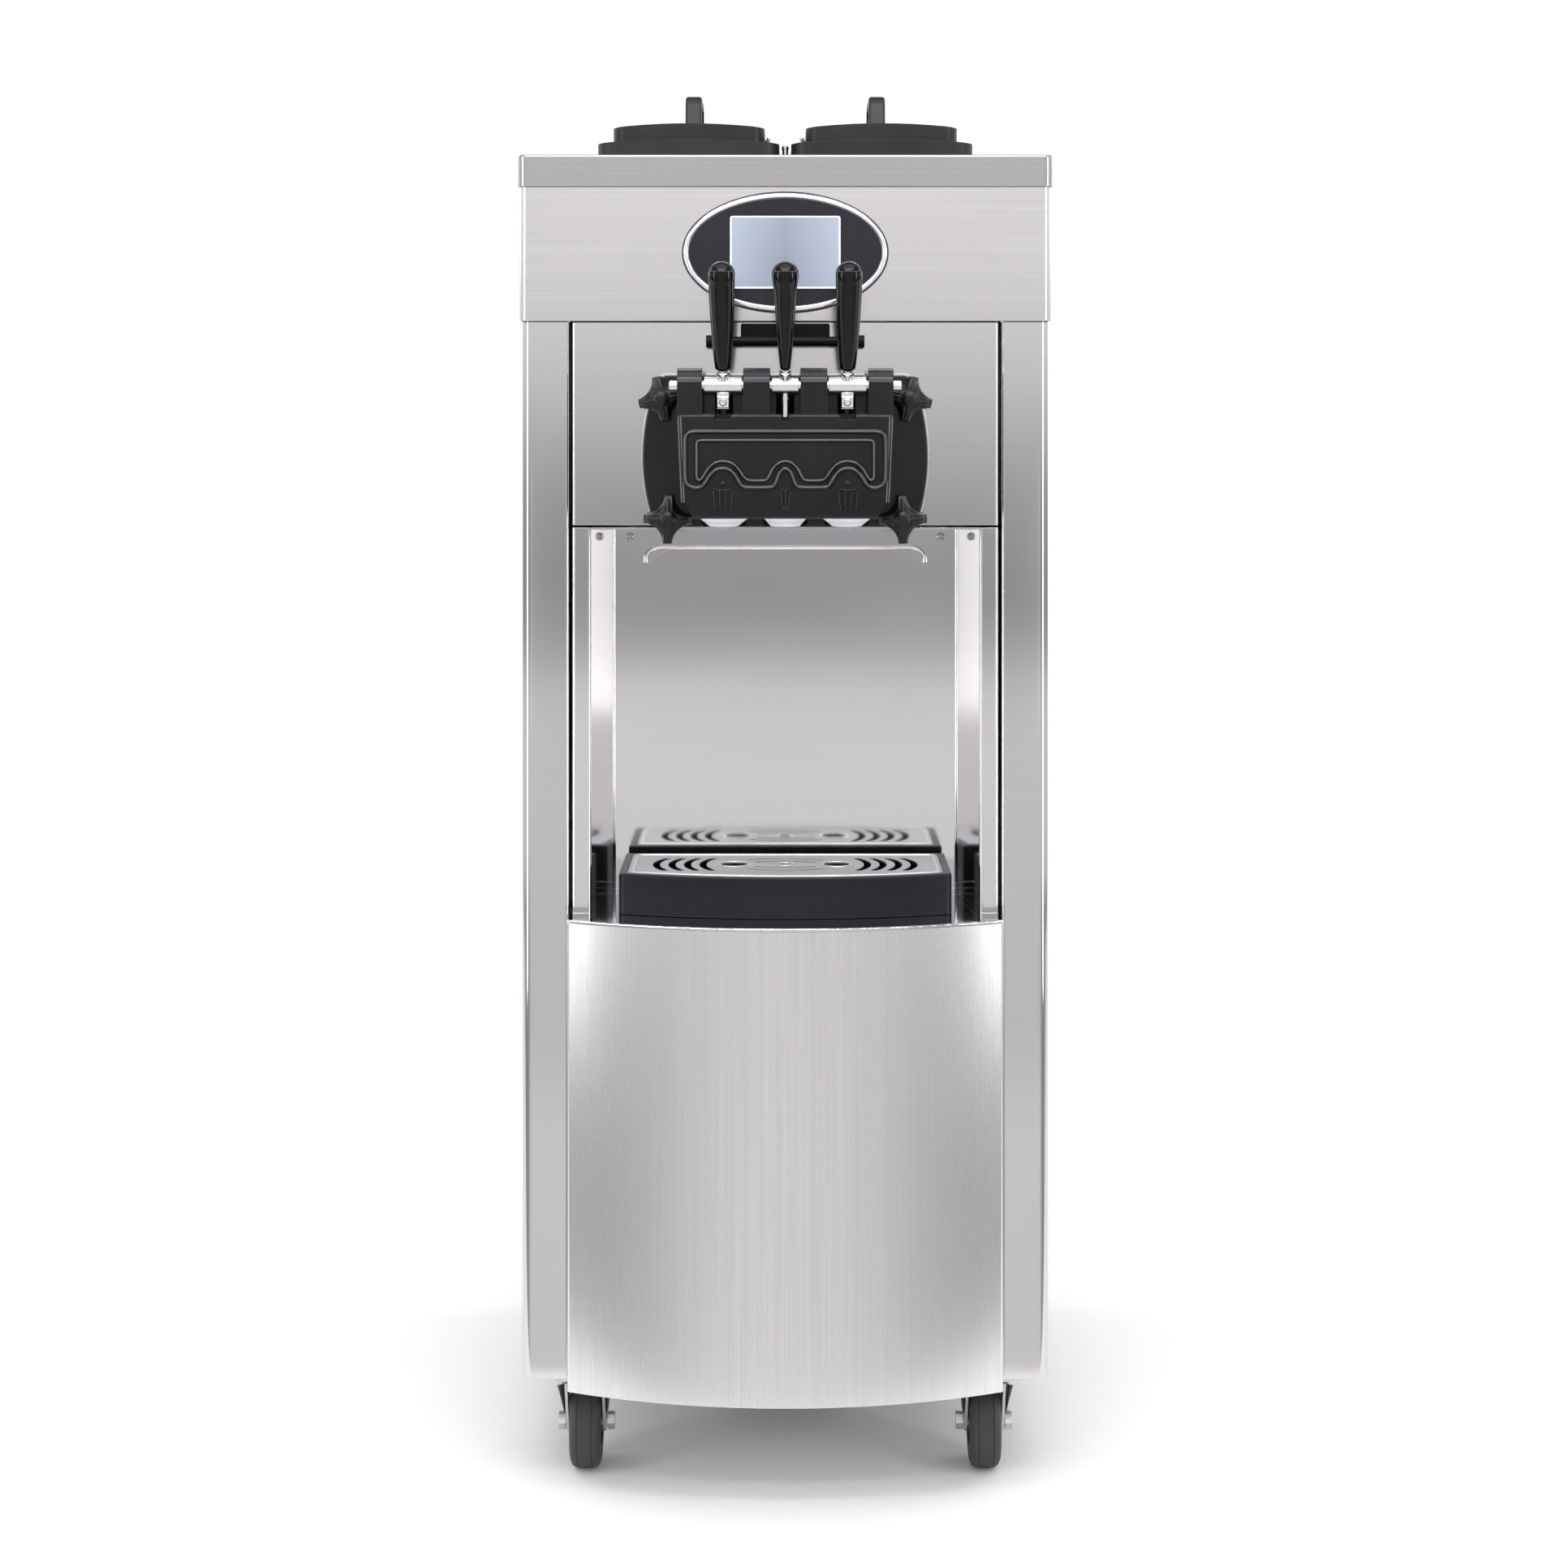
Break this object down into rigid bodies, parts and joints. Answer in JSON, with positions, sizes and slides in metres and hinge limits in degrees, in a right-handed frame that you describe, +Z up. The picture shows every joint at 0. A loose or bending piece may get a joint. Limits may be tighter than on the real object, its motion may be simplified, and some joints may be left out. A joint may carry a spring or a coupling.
{
  "type": "soft-serve ice cream machine",
  "caption": "Floor-standing soft-serve ice cream machine on casters with twin hoppers, a dispensing head with pull handles, an oval display and a serving bay with a drip tray.",
  "frame": {"origin": "on the floor, under the centre of the machine's bounding box", "axes": "+Z up, -Y towards the person who draws the ice cream, +X to their right"},
  "size_m": [0.54, 0.7483, 1.438],
  "materials": {
    "brushed": "long-grain brushed stainless steel",
    "polished": "fine-grain polished stainless steel",
    "chrome": "bright chrome plate",
    "head_black": "semi-gloss moulded black nylon",
    "lid_black": "satin moulded black plastic",
    "grip_black": "glossy moulded black plastic",
    "panel_black": "smooth dark bezel film",
    "screen": "lit blue-grey display glass",
    "white": "white moulded plastic",
    "clear": "translucent bluish plastic",
    "rubber": "black rubber",
    "zinc": "bright zinc-plated steel",
    "grey_frame": "galvanised sheet",
    "machine_black": "black enamel",
    "fins": "pressed aluminium fins",
    "board": "green circuit board"
  },
  "bodies": {
    "cabinet": {"base_chassis": "grey_frame", "frame_posts": "grey_frame", "side_panel_left": "brushed", "side_panel_right": "brushed", "rear_panel": "brushed", "hood": "brushed", "counter_top": "brushed", "upper_panel": "brushed", "bay_liner": "polished", "tray_shelf": "polished", "lower_door": "brushed", "panel_screws": "zinc", "cable_gland": "lid_black", "display_ring": "chrome", "display_panel": "panel_black", "display_screen": "screen", "control_board": "board", "hoppers": "polished", "air_tubes": "white", "freezing_barrels": "polished", "barrel_gaskets": "rubber", "gear_motors": "machine_black", "compressor": "machine_black", "condenser": "fins", "fan_motor": "machine_black", "head_backplate": "polished", "head_body": "head_black", "nozzle_caps": "white", "nozzle_tips": "clear", "pivot_pin": "chrome", "switch_bar": "lid_black", "caster_plates": "zinc"},
    "handle_left": {"lever_left": "chrome", "grip_left": "grip_black"},
    "piston_left": {"draw_piston_left": "head_black"},
    "handle_centre": {"lever_centre": "chrome", "grip_centre": "grip_black"},
    "piston_centre": {"draw_piston_centre": "head_black"},
    "handle_right": {"lever_right": "chrome", "grip_right": "grip_black"},
    "piston_right": {"draw_piston_right": "head_black"},
    "knob_top_left": {"star_knob_top_left": "head_black"},
    "knob_top_right": {"star_knob_top_right": "head_black"},
    "knob_bottom_left": {"star_knob_bottom_left": "head_black"},
    "knob_bottom_right": {"star_knob_bottom_right": "head_black"},
    "lid_left": {"hopper_lid_left": "lid_black"},
    "dasher_left": {"beater_left": "polished"},
    "lid_right": {"hopper_lid_right": "lid_black"},
    "dasher_right": {"beater_right": "polished"},
    "fan": {"fan_blade": "machine_black"},
    "tray": {"drip_tray": "lid_black"},
    "grille": {"drip_grille": "zinc"},
    "fork_front_left": {"caster_fork_front_left": "zinc"},
    "wheel_front_left": {"caster_wheel_front_left": "rubber"},
    "fork_front_right": {"caster_fork_front_right": "zinc"},
    "wheel_front_right": {"caster_wheel_front_right": "rubber"},
    "fork_rear_left": {"caster_fork_rear_left": "zinc"},
    "wheel_rear_left": {"caster_wheel_rear_left": "rubber"},
    "fork_rear_right": {"caster_fork_rear_right": "zinc"},
    "wheel_rear_right": {"caster_wheel_rear_right": "rubber"}
  },
  "joints": [
    {"name": "handle_left_pull", "type": "hinge", "parent": "cabinet", "child": "handle_left", "pos_m": [-0.0615, -0.293, 1.116], "axis": [1, 0, 0], "range_deg": [0, 40]},
    {"name": "piston_left_lift", "type": "slide", "parent": "cabinet", "child": "piston_left", "axis": [0, 0, 1], "range_m": [0, 0.0235]},
    {"name": "handle_centre_pull", "type": "hinge", "parent": "cabinet", "child": "handle_centre", "pos_m": [0, -0.293, 1.116], "axis": [1, 0, 0], "range_deg": [0, 40]},
    {"name": "piston_centre_lift", "type": "slide", "parent": "cabinet", "child": "piston_centre", "axis": [0, 0, 1], "range_m": [0, 0.0235]},
    {"name": "handle_right_pull", "type": "hinge", "parent": "cabinet", "child": "handle_right", "pos_m": [0.0615, -0.293, 1.116], "axis": [1, 0, 0], "range_deg": [0, 40]},
    {"name": "piston_right_lift", "type": "slide", "parent": "cabinet", "child": "piston_right", "axis": [0, 0, 1], "range_m": [0, 0.0235]},
    {"name": "knob_top_left_turn", "type": "hinge", "parent": "cabinet", "child": "knob_top_left", "pos_m": [-0.124, -0.26, 1.103], "axis": [0, 1, 0], "continuous": true},
    {"name": "knob_top_right_turn", "type": "hinge", "parent": "cabinet", "child": "knob_top_right", "pos_m": [0.124, -0.26, 1.103], "axis": [0, 1, 0], "continuous": true},
    {"name": "knob_bottom_left_turn", "type": "hinge", "parent": "cabinet", "child": "knob_bottom_left", "pos_m": [-0.117, -0.26, 0.983], "axis": [0, 1, 0], "continuous": true},
    {"name": "knob_bottom_right_turn", "type": "hinge", "parent": "cabinet", "child": "knob_bottom_right", "pos_m": [0.117, -0.26, 0.983], "axis": [0, 1, 0], "continuous": true},
    {"name": "lid_left_lift", "type": "slide", "parent": "cabinet", "child": "lid_left", "axis": [0, 0, 1], "range_m": [0, 0.15]},
    {"name": "dasher_left_turn", "type": "hinge", "parent": "cabinet", "child": "dasher_left", "pos_m": [-0.0615, -0.1, 1.047], "axis": [0, 1, 0], "continuous": true},
    {"name": "lid_right_lift", "type": "slide", "parent": "cabinet", "child": "lid_right", "axis": [0, 0, 1], "range_m": [0, 0.15]},
    {"name": "dasher_right_turn", "type": "hinge", "parent": "cabinet", "child": "dasher_right", "pos_m": [0.0615, -0.1, 1.047], "axis": [0, 1, 0], "continuous": true},
    {"name": "fan_turn", "type": "hinge", "parent": "cabinet", "child": "fan", "pos_m": [0.08, 0.286, 0.3], "axis": [0, 1, 0], "continuous": true},
    {"name": "tray_pull", "type": "slide", "parent": "cabinet", "child": "tray", "axis": [0, -1, 0], "range_m": [0, 0.15]},
    {"name": "grille_lift", "type": "slide", "parent": "tray", "child": "grille", "axis": [0, 0, 1], "range_m": [0, 0.06]},
    {"name": "fork_front_left_swivel", "type": "hinge", "parent": "cabinet", "child": "fork_front_left", "pos_m": [-0.2055, -0.191, 0.1], "axis": [0, 0, 1], "continuous": true},
    {"name": "wheel_front_left_roll", "type": "hinge", "parent": "fork_front_left", "child": "wheel_front_left", "pos_m": [-0.2055, -0.166, 0.046], "axis": [1, 0, 0], "continuous": true},
    {"name": "fork_front_right_swivel", "type": "hinge", "parent": "cabinet", "child": "fork_front_right", "pos_m": [0.2055, -0.191, 0.1], "axis": [0, 0, 1], "continuous": true},
    {"name": "wheel_front_right_roll", "type": "hinge", "parent": "fork_front_right", "child": "wheel_front_right", "pos_m": [0.2055, -0.166, 0.046], "axis": [1, 0, 0], "continuous": true},
    {"name": "fork_rear_left_swivel", "type": "hinge", "parent": "cabinet", "child": "fork_rear_left", "pos_m": [-0.2055, 0.3, 0.1], "axis": [0, 0, 1], "continuous": true},
    {"name": "wheel_rear_left_roll", "type": "hinge", "parent": "fork_rear_left", "child": "wheel_rear_left", "pos_m": [-0.2055, 0.325, 0.046], "axis": [1, 0, 0], "continuous": true},
    {"name": "fork_rear_right_swivel", "type": "hinge", "parent": "cabinet", "child": "fork_rear_right", "pos_m": [0.2055, 0.3, 0.1], "axis": [0, 0, 1], "continuous": true},
    {"name": "wheel_rear_right_roll", "type": "hinge", "parent": "fork_rear_right", "child": "wheel_rear_right", "pos_m": [0.2055, 0.325, 0.046], "axis": [1, 0, 0], "continuous": true}
  ],
  "couplings": [
    {"joint": "piston_left_lift", "follows": "handle_left_pull", "m_per_rad": 0.033314},
    {"joint": "piston_centre_lift", "follows": "handle_centre_pull", "m_per_rad": 0.033314},
    {"joint": "piston_right_lift", "follows": "handle_right_pull", "m_per_rad": 0.033314}
  ]
}
